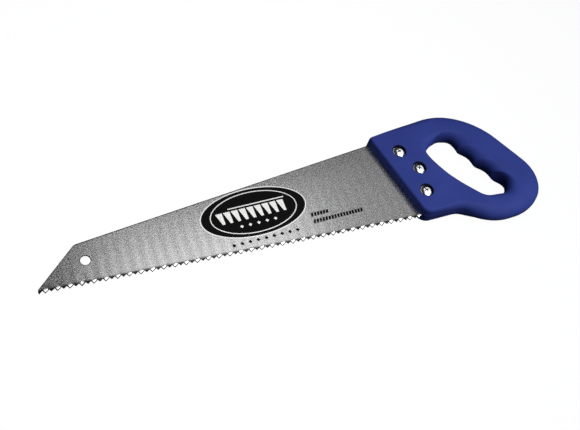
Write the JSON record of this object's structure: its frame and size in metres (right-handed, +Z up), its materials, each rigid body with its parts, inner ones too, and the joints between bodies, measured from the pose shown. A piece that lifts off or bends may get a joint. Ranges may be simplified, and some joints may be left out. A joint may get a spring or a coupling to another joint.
{
  "type": "drywall saw",
  "caption": "Stiff handsaw for plasterboard: tapered steel blade with a slanted nose, coarse teeth and a hanging hole, screwed into a moulded D-handle with finger grooves.",
  "frame": {"origin": "on the surface the saw lies on, under the middle of the whole saw's box", "axes": "+X along the tooth tips from the slanted nose towards the handle, +Y in the blade's plane from the teeth towards the spine, +Z up through the blade's thickness, towards the side with the screw heads"},
  "size_m": [0.5052, 0.128, 0.021],
  "materials": {
    "blade_steel": "satin ground spring steel with a black printed oval badge",
    "handle_plastic": "royal blue moulded plastic, fine matt texture",
    "screw_chrome": "polished chrome plating",
    "nut_chrome": "polished chrome plating"
  },
  "bodies": {
    "root": {"blade": "blade_steel", "handle": "handle_plastic", "screw_top": "screw_chrome", "screw_mid": "screw_chrome", "screw_low": "screw_chrome", "nut_top": "nut_chrome", "nut_mid": "nut_chrome", "nut_low": "nut_chrome"}
  },
  "joints": []
}
